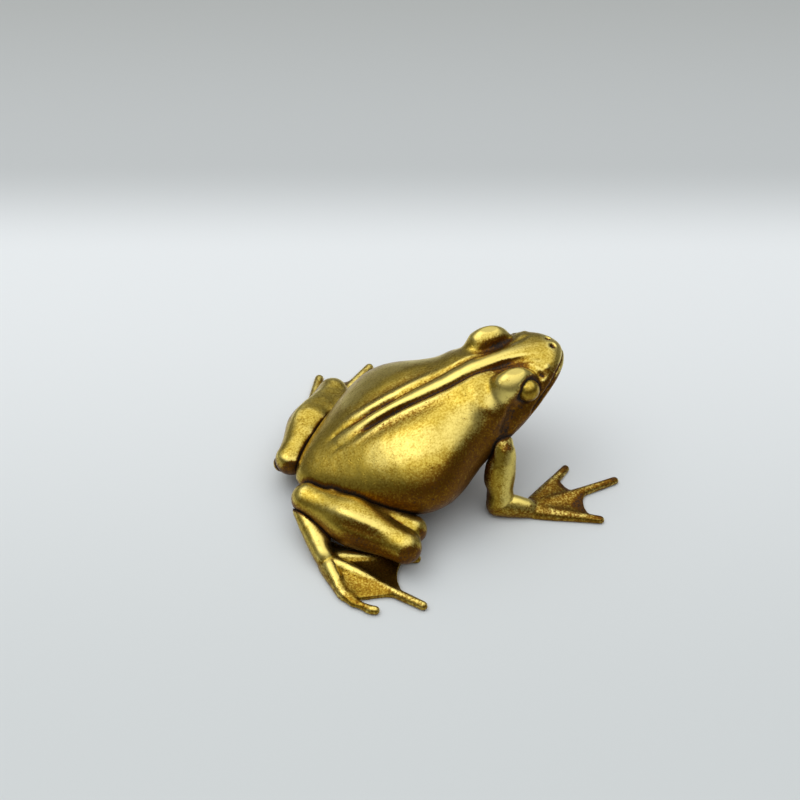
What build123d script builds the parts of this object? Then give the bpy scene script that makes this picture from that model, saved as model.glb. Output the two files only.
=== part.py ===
from build123d import *
import math
import os

# A sitting frog in cast brass: a hollow body in two shells, with limbs cast apart, pegged and brazed on.
# Lengths are in millimetres and angles in degrees. The frog faces +X, its left is +Y and it stands on Z = 0.
# While it is built, X runs forward from the rump. At the end the origin moves under the middle of its box.
# A turn is the angle in plan from straight ahead toward the frog's left. A rise is the angle above level.

# Body
BODY_LENGTH = 54.8
BODY_WIDTH = 37.7
BODY_HEIGHT = 27.4
SHELL_WALL = 2.4
SECTION_POINT_COUNT = 20
BELLY_FULLNESS = 2.0
# Sections from rump to snout: place along the body, half width, height of the widest point, top and bottom, as
# shares of the length, half width and height above, then the fullness of the upper half, where 2 is an ellipse.
BODY_SECTION_SHARES = (
    (0.018, 0.15, 0.235, 0.328, 0.168, 2.1),
    (0.058, 0.32, 0.240, 0.400, 0.095, 2.1),
    (0.142, 0.55, 0.285, 0.506, 0.050, 2.1),
    (0.270, 0.84, 0.346, 0.652, 0.042, 2.1),
    (0.398, 1.00, 0.384, 0.760, 0.075, 2.1),
    (0.507, 0.90, 0.392, 0.830, 0.140, 2.1),
    (0.599, 0.71, 0.447, 0.900, 0.216, 2.1),
    (0.690, 0.60, 0.552, 0.953, 0.312, 2.1),
    (0.763, 0.565, 0.658, 0.976, 0.424, 2.1),
    (0.827, 0.515, 0.750, 0.992, 0.555, 2.1),
    (0.881, 0.44, 0.818, 1.000, 0.670, 2.1),
    (0.936, 0.32, 0.856, 1.000, 0.768, 2.1),
    (0.978, 0.17, 0.866, 0.968, 0.824, 2.1),
)
RUMP_HEIGHT_SHARE = 0.245
SNOUT_HEIGHT_SHARE = 0.885
# The body is hollow from its second section to the one behind the eyes, and the lap lip is a section shorter.
CAVITY_FIRST = 1
CAVITY_LAST = 7

# Parting line of the two shells, as shares of body length and height: rump, chest, corner of the mouth, lips
SEAM_SHARES = ((0.0, 0.225), (0.70, 0.56), (0.80, 0.68), (0.86, 0.812), (0.93, 0.897), (1.0, 0.922))
MOUTH_CORNER = 2
LIP_HEIGHT = 1.6

# Carved lines: two grooves beside the spine, a moat round each brow and the line of the mouth
CARVING_DEPTH = 0.7
BACK_GROOVE_WIDTH = 1.2
BROW_MOAT_WIDTH = 0.9
MOUTH_WIDTH = 0.6
# One back groove in plan from rump to snout, as shares of body length and half width
BACK_GROOVE_SHARES = (
    (0.105, 0.040), (0.197, 0.086), (0.288, 0.080), (0.394, 0.080), (0.498, 0.090),
    (0.613, 0.100), (0.714, 0.106), (0.796, 0.117), (0.850, 0.149), (0.905, 0.200),
)

# Brows and eyes
BROW_LENGTH = 9.8
BROW_WIDTH = 6.4
BROW_HEIGHT = 7.0
BROW_FORWARD = 41.6
BROW_OUT = 6.6
BROW_UP = 24.3
BROW_RISE = 8.0
EYE_DIAMETER = 4.4
EYE_FORWARD = 44.1
EYE_OUT = 8.3
EYE_UP = 24.0
ORBIT_DIAMETER = 6.4
ORBIT_DROP = 1.0
EYE_STEM_DIAMETER = 1.6
EYE_STEM_LENGTH = 3.0

# Hind leg: heel, shank and thigh
HEEL_FORWARD = 0.6
HEEL_OUT = 5.7
HEEL_UP = 6.6
HEEL_WIDTH = 6.2
SHANK_LENGTH = 22.0
SHANK_TURN = 51.0
SHANK_RISE = -2.5
SHANK_WIDTH = 9.6
SHANK_SWELL_SHARE = 0.44
KNEE_WIDTH = 6.4
THIGH_INSET = 4.6
THIGH_SETBACK = 1.2
THIGH_LENGTH = 16.0
THIGH_TURN = 45.0
THIGH_RISE = -3.4
THIGH_WIDTH = 6.4
THIGH_KNEE_WIDTH = 5.6
THIGH_SWELL_SHARE = 0.5

# Hind foot: tarsus, three toes from the outside in, and webs
TARSUS_BACK = 1.6
TARSUS_OUT = 1.2
TARSUS_DROP = 1.7
TARSUS_WIDTH = 3.4
TARSUS_SWELL_SHARE = 0.5
ANKLE_UP = 1.7
ANKLE_WIDTH = 3.4
TOE_ROOT_WIDTH = 3.0
TOE_TIP_WIDTH = 2.0
TOE_UP = 0.6
WEB_THICKNESS = 1.1
# The right foot lies behind the knee with its outer toe hooked forward.
RIGHT_TARSUS_LENGTH = 10.2
RIGHT_TARSUS_TURN = 82.0
RIGHT_OUTER_TOE_LENGTH = 12.6
RIGHT_OUTER_TOE_TURN = 84.0
RIGHT_MIDDLE_TOE_LENGTH = 21.8
RIGHT_MIDDLE_TOE_TURN = 50.0
RIGHT_INNER_TOE_LENGTH = 17.6
RIGHT_INNER_TOE_TURN = 18.0
HOOK_LENGTH = 4.7
HOOK_TURN = 30.0
# The left foot is drawn in under its shank with straight toes.
LEFT_TARSUS_LENGTH = 14.0
LEFT_TARSUS_TURN = 55.0
LEFT_OUTER_TOE_LENGTH = 17.2
LEFT_OUTER_TOE_TURN = 63.4
LEFT_MIDDLE_TOE_LENGTH = 24.4
LEFT_MIDDLE_TOE_TURN = 39.0
LEFT_INNER_TOE_LENGTH = 17.6
LEFT_INNER_TOE_TURN = 12.0
# How far each web reaches along the two digits beside it, and how far its edge dips in, as shares of length
OUTER_FOOT_WEB_SHARES = (0.97, 0.86, 0.10)
INNER_FOOT_WEB_SHARES = (0.92, 0.88, 0.14)
# The right foot also has a web under the shank, between its tarsus and its inner toe.
HEEL_WEB_SHARES = (0.80, 0.80, 0.20)

# Arm: shoulder, elbow, wrist, three fingers from the outside in, and webs
SHOULDER_FORWARD = 38.4
SHOULDER_OUT = 12.0
SHOULDER_UP = 14.0
SHOULDER_WIDTH = 4.6
ARM_WIDTH = 5.4
ARM_SWELL_SHARE = 0.45
ELBOW_FORWARD = 36.4
ELBOW_OUT = 14.8
ELBOW_UP = 2.0
ELBOW_WIDTH = 4.6
ELBOW_SEAT_UP = 3.0
FOREARM_LENGTH = 5.6
FOREARM_TURN = 25.0
WRIST_WIDTH = 3.4
WRIST_UP = 1.2
FINGER_ROOT_WIDTH = 2.8
FINGER_TIP_WIDTH = 1.9
FINGER_UP = 0.5
OUTER_FINGER_LENGTH = 14.4
OUTER_FINGER_TURN = 28.0
MIDDLE_FINGER_LENGTH = 20.0
MIDDLE_FINGER_TURN = -6.0
INNER_FINGER_LENGTH = 14.6
INNER_FINGER_TURN = -35.0
# The fingers of the left hand are swung outward as a whole, those of the right hand are not.
LEFT_HAND_SPLAY = 16.0
RIGHT_HAND_SPLAY = 0.0
OUTER_HAND_WEB_SHARES = (0.93, 0.76, 0.16)
INNER_HAND_WEB_SHARES = (0.60, 0.92, 0.16)

# Pegs, one of each kind on either side
HIP_PEG_DIAMETER = 2.0
HIP_PEG_LENGTH = 6.0
HIP_PEG_FORWARD = 13.5
HIP_PEG_OUT = 14.5
HIP_PEG_UP = 6.4
SHOULDER_PEG_DIAMETER = 1.6
SHOULDER_PEG_LENGTH = 4.6
SHOULDER_PEG_OUT = 10.9
HEEL_PEG_DIAMETER = 1.4
HEEL_PEG_LENGTH = 3.6
HEEL_PEG_REACH = 1.6
ELBOW_PEG_DIAMETER = 1.4
ELBOW_PEG_LENGTH = 3.4

# Fits: the braze gap between seated pieces and the clearance of a peg, and one overrun for all cuts
BRAZE_GAP = 0.05
PEG_CLEARANCE = 0.05
OVERRUN = 5.0


def heading(turn, rise=0.0):
    """Unit direction that points forward, turned to the frog's left and raised above level."""
    level = math.cos(math.radians(rise))
    across = math.radians(turn)
    return Vector(level * math.cos(across), level * math.sin(across), math.sin(math.radians(rise)))


def section_face(shares, grow):
    """One upright slice of the body, grown outward all round."""
    along, wide, waist, top, bottom, fullness = shares
    half_width = wide * BODY_WIDTH / 2 + grow
    middle = waist * BODY_HEIGHT
    points = []
    for step in range(SECTION_POINT_COUNT):
        angle = 2 * math.pi * step / SECTION_POINT_COUNT - math.pi / 2
        side, lift = math.cos(angle), math.sin(angle)
        if lift >= 0:
            reach, power = top * BODY_HEIGHT - middle + grow, 2 / fullness
        else:
            reach, power = middle - bottom * BODY_HEIGHT + grow, 2 / BELLY_FULLNESS
        out = math.copysign(half_width * abs(side) ** power, side)
        up = math.copysign(reach * abs(lift) ** power, lift)
        points.append((along * BODY_LENGTH, out, middle + up))
    return Face(Wire([Edge.make_spline(points, periodic=True)]))


def body_form(grow=0.0):
    """The whole outside of the body, grown outward by a gap."""
    rump = Vertex(-grow, 0, RUMP_HEIGHT_SHARE * BODY_HEIGHT)
    snout = Vertex(BODY_LENGTH + grow, 0, SNOUT_HEIGHT_SHARE * BODY_HEIGHT)
    faces = [section_face(shares, grow) for shares in BODY_SECTION_SHARES]
    return loft([rump, *faces, snout])


def inner_form(inset, first, last):
    """The body's form set inward, from one section to another."""
    chosen = BODY_SECTION_SHARES[first : last + 1]
    return loft([section_face(shares, -inset) for shares in chosen])


def seam_block(lift, height):
    """A block that stands on the parting line, raised by a lift."""
    line = [(along * BODY_LENGTH, up * BODY_HEIGHT + lift) for along, up in SEAM_SHARES]
    line = [(-OVERRUN, line[0][1])] + line + [(BODY_LENGTH + OVERRUN, line[-1][1])]
    roof = [(along, up + height) for along, up in reversed(line)]
    outline = make_face(Polyline(*line, *roof, close=True))
    return extrude(Plane.XZ * outline, BODY_WIDTH / 2 + OVERRUN, both=True)


def spindle(start, end, widths, swell_share, grow=0.0):
    """A round muscle with a width at each end and one at its swell, and round caps."""
    first, swell, last = [width / 2 + grow for width in widths]
    length = (end - start).length
    slant = math.cos(math.pi / 4)
    start_cap = ThreePointArc((0, -first), (first * slant, -first * slant), (first, 0))
    side = Spline((first, 0), (swell, swell_share * length), (last, length), tangents=((0, 1), (0, 1)))
    end_cap = ThreePointArc((last, length), (last * slant, length + last * slant), (0, length + last))
    axis = Line((0, length + last), (0, -first))
    profile = Plane.XZ * make_face(start_cap + side + end_cap + axis)
    return Plane(origin=start, z_dir=end - start).location * revolve(profile, Axis.Z)


def digit(start, end, start_width, end_width):
    """A tapered digit with round ends."""
    first, last = start_width / 2, end_width / 2
    length = (end - start).length
    slope = math.asin((first - last) / length)
    lean, sag = math.cos(slope), math.sin(slope)
    low_arc = ThreePointArc(
        (0, -first), (first * math.cos((slope - math.pi / 2) / 2), first * math.sin((slope - math.pi / 2) / 2)),
        (first * lean, first * sag),
    )
    side = Line((first * lean, first * sag), (last * lean, length + last * sag))
    high_arc = ThreePointArc(
        (last * lean, length + last * sag),
        (last * math.cos((slope + math.pi / 2) / 2), length + last * math.sin((slope + math.pi / 2) / 2)),
        (0, length + last),
    )
    axis = Line((0, length + last), (0, -first))
    profile = Plane.XZ * make_face(low_arc + side + high_arc + axis)
    return Plane(origin=start, z_dir=end - start).location * revolve(profile, Axis.Z)


def web(root, tips, shares):
    """A thin web between two digits that leave one root, with a hollow outer edge."""
    first_share, second_share, dip_share = shares
    foot = Vector(root.X, root.Y, 0)
    first = foot + (Vector(tips[0].X, tips[0].Y, 0) - foot) * first_share
    second = foot + (Vector(tips[1].X, tips[1].Y, 0) - foot) * second_share
    middle = (first + second) / 2
    dip = middle + (foot - middle) * dip_share
    edge = ThreePointArc(first, dip, second)
    outline = make_face(Line(foot, first) + edge + Line(second, foot))
    return extrude(outline, WEB_THICKNESS, dir=(0, 0, 1))


def peg(centre, direction, diameter, length):
    """A plain dowel about a centre."""
    return Plane(origin=centre, z_dir=direction).location * Cylinder(diameter / 2, length)


def ground():
    """The table, as a block under Z = 0."""
    block = Box(4 * BODY_LENGTH, 4 * BODY_WIDTH, 2 * OVERRUN, align=(Align.CENTER, Align.CENTER, Align.MAX))
    return Pos(BODY_LENGTH / 2, 0, 0) * block


def above(height):
    """All space over a height."""
    block = Box(4 * BODY_LENGTH, 4 * BODY_WIDTH, 4 * BODY_HEIGHT, align=(Align.CENTER, Align.CENTER, Align.MIN))
    return Pos(BODY_LENGTH / 2, 0, height) * block


def both_sides(piece):
    """A piece of the left side with its mirror image, as a group of two solids."""
    return piece + mirror(piece, about=Plane.XZ)


HEEL = Vector(HEEL_FORWARD, HEEL_OUT, HEEL_UP)
KNEE = HEEL + heading(SHANK_TURN, SHANK_RISE) * SHANK_LENGTH
THIGH_END = KNEE + heading(SHANK_TURN - 90) * THIGH_INSET - heading(SHANK_TURN) * THIGH_SETBACK
HIP = THIGH_END - heading(THIGH_TURN, THIGH_RISE) * THIGH_LENGTH
TARSUS_START = HEEL + Vector(-TARSUS_BACK, TARSUS_OUT, -TARSUS_DROP)
SHOULDER = Vector(SHOULDER_FORWARD, SHOULDER_OUT, SHOULDER_UP)
ELBOW = Vector(ELBOW_FORWARD, ELBOW_OUT, ELBOW_UP)
WRIST = Vector(0, 0, WRIST_UP - ELBOW_UP) + ELBOW + heading(FOREARM_TURN) * FOREARM_LENGTH
EYE = Vector(EYE_FORWARD, EYE_OUT, EYE_UP)


def hip_peg(clearance=0.0):
    """The dowel between flank and hind leg."""
    centre = Vector(HIP_PEG_FORWARD, HIP_PEG_OUT, HIP_PEG_UP)
    return peg(centre, Vector(0, 1, 0), HIP_PEG_DIAMETER + 2 * clearance, HIP_PEG_LENGTH + 2 * clearance)


def shoulder_peg(clearance=0.0):
    """The dowel between chest and upper arm."""
    centre = Vector(SHOULDER_FORWARD, SHOULDER_PEG_OUT, SHOULDER_UP)
    return peg(centre, Vector(0, 1, 0), SHOULDER_PEG_DIAMETER + 2 * clearance, SHOULDER_PEG_LENGTH + 2 * clearance)


def heel_peg(ankle, clearance=0.0):
    """The dowel between shank and tarsus, along the tarsus."""
    along = (ankle - TARSUS_START).normalized()
    centre = TARSUS_START + along * HEEL_PEG_REACH
    return peg(centre, along, HEEL_PEG_DIAMETER + 2 * clearance, HEEL_PEG_LENGTH + 2 * clearance)


def elbow_peg(clearance=0.0):
    """The upright dowel between upper arm and forearm."""
    centre = Vector(ELBOW.X, ELBOW.Y, ELBOW_SEAT_UP)
    return peg(centre, Vector(0, 0, 1), ELBOW_PEG_DIAMETER + 2 * clearance, ELBOW_PEG_LENGTH + 2 * clearance)


def shank_form(grow=0.0):
    """The shank, from heel to knee."""
    return spindle(HEEL, KNEE, (HEEL_WIDTH, SHANK_WIDTH, KNEE_WIDTH), SHANK_SWELL_SHARE, grow)


def thigh_form(grow=0.0):
    """The thigh, from hip to knee."""
    return spindle(HIP, THIGH_END, (THIGH_WIDTH, THIGH_WIDTH, THIGH_KNEE_WIDTH), THIGH_SWELL_SHARE, grow)


def arm_form(grow=0.0):
    """The upper arm, before it is fitted to body and forearm."""
    return spindle(SHOULDER, ELBOW, (SHOULDER_WIDTH, ARM_WIDTH, ELBOW_WIDTH), ARM_SWELL_SHARE, grow)


def eye_bead(gap=0.0):
    """An eye bead with its stem, grown by a gap."""
    bead = Pos(*EYE) * Sphere(EYE_DIAMETER / 2 + gap)
    length = EYE_DIAMETER / 2 + EYE_STEM_LENGTH + gap
    stem = Cylinder(EYE_STEM_DIAMETER / 2 + gap, length, align=(Align.CENTER, Align.CENTER, Align.MIN))
    return bead + Plane(origin=EYE, z_dir=(0, -1, 0)).location * stem


def brow(grow=0.0):
    """The lid that bulges over an eye, grown outward."""
    lid = scale(Sphere(1), by=(BROW_LENGTH / 2 + grow, BROW_WIDTH / 2 + grow, BROW_HEIGHT / 2 + grow))
    return Pos(BROW_FORWARD, BROW_OUT, BROW_UP) * Rot(0, -BROW_RISE, 0) * lid


def back_groove():
    """A groove beside the spine, as an upright blade that comes to a point at both ends."""
    line = [(along * BODY_LENGTH, out * BODY_WIDTH / 2) for along, out in BACK_GROOVE_SHARES]
    inner = [(along, out - BACK_GROOVE_WIDTH / 2) for along, out in line[1:-1]]
    outer = [(along, out + BACK_GROOVE_WIDTH / 2) for along, out in line[1:-1]]
    inner_edge = Spline(line[0], *inner, line[-1])
    outer_edge = Spline(line[-1], *reversed(outer), line[0])
    return extrude(make_face(inner_edge + outer_edge), 2 * BODY_HEIGHT, dir=(0, 0, 1))


def mouth_line():
    """The line of the mouth, a slice along the parting line ahead of the mouth's corner."""
    corner = SEAM_SHARES[MOUTH_CORNER][0] * BODY_LENGTH
    ahead = Box(BODY_LENGTH, 2 * BODY_WIDTH, 4 * BODY_HEIGHT, align=(Align.MIN, Align.CENTER, Align.CENTER))
    return seam_block(-MOUTH_WIDTH / 2, MOUTH_WIDTH) & Pos(corner, 0, 0) * ahead


def make_shells(outside):
    """The back and belly shells, carved, with the lap between them."""
    core = body_form(-CARVING_DEPTH)
    grooves = both_sides(back_groove() - core)
    moats = both_sides(brow(BROW_MOAT_WIDTH) - core)
    mouth = mouth_line() - core
    cavity = inner_form(SHELL_WALL, CAVITY_FIRST, CAVITY_LAST)
    upper = seam_block(0, 2 * BODY_HEIGHT)
    pegs = both_sides(hip_peg(PEG_CLEARANCE)) + both_sides(shoulder_peg(PEG_CLEARANCE))
    orbit = Pos(EYE_FORWARD, EYE_OUT + EYE_DIAMETER / 2, EYE_UP - ORBIT_DROP) * Sphere(ORBIT_DIAMETER / 2)
    orbits = both_sides(orbit)

    rebate_form = inner_form(SHELL_WALL / 2, CAVITY_FIRST + 1, CAVITY_LAST - 1)
    rebate = rebate_form & seam_block(0, LIP_HEIGHT + BRAZE_GAP)
    back = (outside & upper) - moats - grooves + both_sides(brow()) - mouth
    back = back - cavity - rebate - orbits - both_sides(eye_bead(BRAZE_GAP)) - pegs

    lip_form = inner_form(SHELL_WALL / 2 + BRAZE_GAP, CAVITY_FIRST + 1, CAVITY_LAST - 1)
    lip = (lip_form & seam_block(-OVERRUN / 2, LIP_HEIGHT + OVERRUN / 2)) - cavity
    belly = (outside - upper) - mouth - orbits - cavity + lip - pegs
    return back, belly


def ankle_place(length, turn):
    """Where a tarsus of some length comes down to the ankle."""
    rise = -math.degrees(math.asin((TARSUS_START.Z - ANKLE_UP) / length))
    return TARSUS_START + heading(turn, rise) * length


def make_hind_leg(body_seat, ankle):
    """Thigh and shank in one casting, hollowed to sit on the flank."""
    leg = shank_form() + thigh_form() - body_seat
    return leg - hip_peg(PEG_CLEARANCE) - heel_peg(ankle, PEG_CLEARANCE)


def make_hind_foot(body_seat, ankle, toes, hooked):
    """Tarsus, three webbed toes given by length and turn from the outside in, and the flat sole.

    A hooked foot has its outer toe bent forward and a web under the shank.
    """
    root = Vector(ankle.X, ankle.Y, TOE_UP)
    tips = [root + heading(turn) * length for length, turn in toes]
    foot = spindle(TARSUS_START, ankle, (TARSUS_WIDTH, TARSUS_WIDTH, ANKLE_WIDTH), TARSUS_SWELL_SHARE)
    for tip in tips:
        start = root + (tip - root).normalized() * TOE_ROOT_WIDTH / 2
        foot += digit(start, tip, TOE_ROOT_WIDTH, TOE_TIP_WIDTH)
    if hooked:
        hook = tips[0] + heading(HOOK_TURN) * HOOK_LENGTH
        foot += digit(tips[0], hook, TOE_TIP_WIDTH + 2 * BRAZE_GAP, TOE_TIP_WIDTH)
        foot += web(root, (TARSUS_START, tips[2]), HEEL_WEB_SHARES)
    foot += web(root, tips[:2], OUTER_FOOT_WEB_SHARES)
    foot += web(root, tips[1:], INNER_FOOT_WEB_SHARES)
    foot = foot - ground() - shank_form(BRAZE_GAP) - thigh_form(BRAZE_GAP) - body_seat
    return foot - heel_peg(ankle, PEG_CLEARANCE)


def make_upper_arm(body_seat):
    """Shoulder to elbow, hollowed to sit on the chest and flat where it stands on the forearm."""
    arm = (arm_form() & above(ELBOW_SEAT_UP)) - body_seat
    return arm - shoulder_peg(PEG_CLEARANCE) - elbow_peg(PEG_CLEARANCE)


def make_hand(splay):
    """Forearm, three webbed fingers swung outward by a splay, and the flat palm."""
    root = Vector(WRIST.X, WRIST.Y, FINGER_UP)
    outer = root + heading(OUTER_FINGER_TURN + splay) * OUTER_FINGER_LENGTH
    middle = root + heading(MIDDLE_FINGER_TURN + splay) * MIDDLE_FINGER_LENGTH
    inner = root + heading(INNER_FINGER_TURN + splay) * INNER_FINGER_LENGTH
    hand = digit(ELBOW, WRIST, ELBOW_WIDTH, WRIST_WIDTH)
    for tip in (outer, middle, inner):
        start = root + (tip - root).normalized() * FINGER_ROOT_WIDTH / 2
        hand += digit(start, tip, FINGER_ROOT_WIDTH, FINGER_TIP_WIDTH)
    hand += web(root, (outer, middle), OUTER_HAND_WEB_SHARES)
    hand += web(root, (middle, inner), INNER_HAND_WEB_SHARES)
    elbow_seat = arm_form(BRAZE_GAP) & above(ELBOW_SEAT_UP)
    return hand - ground() - elbow_seat - elbow_peg(PEG_CLEARANCE)


def make_pieces():
    """Every piece by name. Each is built on the left side, and those of the right side are mirrored."""
    outside = body_form()
    body_seat = body_form(BRAZE_GAP)
    back_shell, belly_shell = make_shells(outside)
    pieces = {"back_shell": back_shell, "belly_shell": belly_shell}
    for name, piece in {"eye": eye_bead(), "upper_arm": make_upper_arm(body_seat)}.items():
        pieces[f"left_{name}"] = piece
        pieces[f"right_{name}"] = mirror(piece, about=Plane.XZ)
    pieces["left_hand"] = make_hand(LEFT_HAND_SPLAY)
    pieces["right_hand"] = mirror(make_hand(RIGHT_HAND_SPLAY), about=Plane.XZ)

    left_ankle = ankle_place(LEFT_TARSUS_LENGTH, LEFT_TARSUS_TURN)
    left_toes = (
        (LEFT_OUTER_TOE_LENGTH, LEFT_OUTER_TOE_TURN),
        (LEFT_MIDDLE_TOE_LENGTH, LEFT_MIDDLE_TOE_TURN),
        (LEFT_INNER_TOE_LENGTH, LEFT_INNER_TOE_TURN),
    )
    right_ankle = ankle_place(RIGHT_TARSUS_LENGTH, RIGHT_TARSUS_TURN)
    right_toes = (
        (RIGHT_OUTER_TOE_LENGTH, RIGHT_OUTER_TOE_TURN),
        (RIGHT_MIDDLE_TOE_LENGTH, RIGHT_MIDDLE_TOE_TURN),
        (RIGHT_INNER_TOE_LENGTH, RIGHT_INNER_TOE_TURN),
    )
    pieces["left_hind_leg"] = make_hind_leg(body_seat, left_ankle)
    pieces["left_hind_foot"] = make_hind_foot(body_seat, left_ankle, left_toes, hooked=False)
    pieces["right_hind_leg"] = mirror(make_hind_leg(body_seat, right_ankle), about=Plane.XZ)
    right_foot = make_hind_foot(body_seat, right_ankle, right_toes, hooked=True)
    pieces["right_hind_foot"] = mirror(right_foot, about=Plane.XZ)

    pieces["hip_pegs"] = both_sides(hip_peg())
    pieces["shoulder_pegs"] = both_sides(shoulder_peg())
    pieces["heel_pegs"] = heel_peg(left_ankle) + mirror(heel_peg(right_ankle), about=Plane.XZ)
    pieces["elbow_pegs"] = both_sides(elbow_peg())
    return pieces


def middle_of(pieces):
    """The place along X and Y of the middle of the whole frog, measured on points of its surface."""
    points = [point for piece in pieces.values() for point in piece.tessellate(BRAZE_GAP)[0]]
    forward = [point.X for point in points]
    across = [point.Y for point in points]
    return (min(forward) + max(forward)) / 2, (min(across) + max(across)) / 2


def main():
    """Build the frog, move the origin under its middle and write one file a piece."""
    pieces = make_pieces()
    forward, across = middle_of(pieces)
    os.makedirs("parts", exist_ok=True)
    for name, piece in pieces.items():
        export_step(Pos(-forward, -across, 0) * piece, f"parts/{name}.step")
        print(name, len(piece.solids()), "solids", round(piece.volume, 1), "mm3")
    print("origin forward of the rump", round(forward, 3), "and left of the middle", round(across, 3))


if __name__ == "__main__":
    main()
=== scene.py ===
"""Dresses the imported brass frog: carved skin, antiqued brass finish, pale table and soft light."""

import logging
import math
from dataclasses import dataclass, field, replace
from enum import Enum
from typing import ClassVar

import bmesh
import bpy
import numpy as np
from mathutils import Matrix, Vector
from mathutils.bvhtree import BVHTree
from mathutils.kdtree import KDTree


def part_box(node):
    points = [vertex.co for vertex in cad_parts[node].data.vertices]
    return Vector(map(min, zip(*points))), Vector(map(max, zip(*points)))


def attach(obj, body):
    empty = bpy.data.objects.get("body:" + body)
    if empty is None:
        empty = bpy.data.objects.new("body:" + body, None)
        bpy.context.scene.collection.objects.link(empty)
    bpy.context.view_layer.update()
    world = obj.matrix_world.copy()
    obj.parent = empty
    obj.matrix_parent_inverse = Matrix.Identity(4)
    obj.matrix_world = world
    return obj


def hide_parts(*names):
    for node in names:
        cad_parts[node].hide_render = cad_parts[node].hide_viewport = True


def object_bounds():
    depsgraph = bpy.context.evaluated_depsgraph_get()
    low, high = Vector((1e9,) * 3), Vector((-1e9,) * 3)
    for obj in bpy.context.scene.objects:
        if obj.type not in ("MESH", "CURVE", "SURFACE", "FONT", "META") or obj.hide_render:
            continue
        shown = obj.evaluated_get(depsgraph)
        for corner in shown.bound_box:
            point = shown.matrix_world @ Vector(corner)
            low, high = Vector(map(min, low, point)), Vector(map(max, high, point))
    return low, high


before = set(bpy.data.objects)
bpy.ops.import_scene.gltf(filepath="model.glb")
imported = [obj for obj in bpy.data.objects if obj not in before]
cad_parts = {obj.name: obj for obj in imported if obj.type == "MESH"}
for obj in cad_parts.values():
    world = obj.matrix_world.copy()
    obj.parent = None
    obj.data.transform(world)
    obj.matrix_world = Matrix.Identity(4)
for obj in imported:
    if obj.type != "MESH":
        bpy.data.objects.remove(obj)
CAD_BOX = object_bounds()

LOG = logging.getLogger("frog")
MM = 0.001
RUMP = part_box("back_shell")[0][0] / MM
STROKE_REACH = 2.4                    # widths of a stroke over which it is felt
STROKE_FALL = 1.6                     # how fast it falls off beside its path
SEAM_ANGLE = math.radians(50.0)       # edges steeper than this stay sharp at a seam
Point = tuple[float, ...]
Path = tuple[Point, ...]
Colour = tuple[float, float, float]


def smooth_step(low: float, high: float, value: np.ndarray) -> np.ndarray:
    """Eases from 0 at low to 1 at high.

    Args:
        low: value that gives 0.
        high: value that gives 1, above or below low.
        value: values to ease.

    Returns:
        The eased values.
    """
    share = np.clip((value - low) / (high - low), 0.0, 1.0)
    return share * share * (3.0 - 2.0 * share)


def linear_colour(red: int, green: int, blue: int) -> Colour:
    """Turns a colour as seen on a screen, 0 to 255, into the renderer's linear values.

    Args:
        red: red level.
        green: green level.
        blue: blue level.

    Returns:
        The linear red, green and blue.
    """
    def channel(level: int) -> float:
        """Linear value of one level."""
        share = level / 255.0
        return share / 12.92 if share <= 0.04045 else ((share + 0.055) / 1.055) ** 2.4
    return channel(red), channel(green), channel(blue)


def put(name: str, data: bpy.types.ID) -> bpy.types.Object:
    """Puts an object in the scene.

    Args:
        name: name of the object.
        data: its mesh, lamp or camera.

    Returns:
        The object.
    """
    made = bpy.data.objects.new(name, data)
    bpy.context.scene.collection.objects.link(made)
    return made


def modified(mesh: bpy.types.Mesh, kind: str, **settings: object) -> bpy.types.Mesh:
    """Runs one of Blender's modifiers on a mesh.

    Args:
        mesh: mesh to change, deleted afterwards.
        kind: the modifier's type name.
        settings: properties to set on it.

    Returns:
        The changed mesh.
    """
    holder = put(mesh.name, mesh)
    change = holder.modifiers.new(kind.lower(), kind)
    for key, value in settings.items():
        setattr(change, key, value)
    graph = bpy.context.evaluated_depsgraph_get()
    made = bpy.data.meshes.new_from_object(holder.evaluated_get(graph))
    bpy.data.objects.remove(holder)
    bpy.data.meshes.remove(mesh)
    return made


class Side(Enum):
    """Side of the frog, by the word that starts the names of its nodes."""

    RIGHT = "right"
    LEFT = "left"

    @property
    def sign(self) -> float:
        """Sign of the side along the axis across the frog."""
        return -1.0 if self is Side.RIGHT else 1.0


class Facing(Enum):
    """Way in which the points of a stroke are laid on the skin."""

    ABOVE = "above"    # points are (forward, out), laid on from above
    SPACE = "space"    # points are (forward, out, up), taken to the nearest skin


@dataclass(frozen=True)
class Stroke:
    """One carved line on both sides of the frog, in millimetres forward of the rump and out from the middle.

    A stroke with depth above 0 cuts in, one with depth below 0 stands up.
    """

    name: str
    path: Path
    facing: Facing
    width: float
    depth: float
    patina: float = 0.0
    wear: float = 0.0
    taper_share: float = 0.2
    left_share: float = 1.0
    right_share: float = 1.0
    flat_share: float = 0.0

    def share(self, side: Side) -> float:
        """Share of the stroke's depth on one side."""
        return self.right_share if side is Side.RIGHT else self.left_share

    def only(self, side: Side) -> "Stroke":
        """The same stroke on one side alone."""
        return replace(self, right_share=float(side is Side.RIGHT), left_share=float(side is Side.LEFT))


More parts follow.
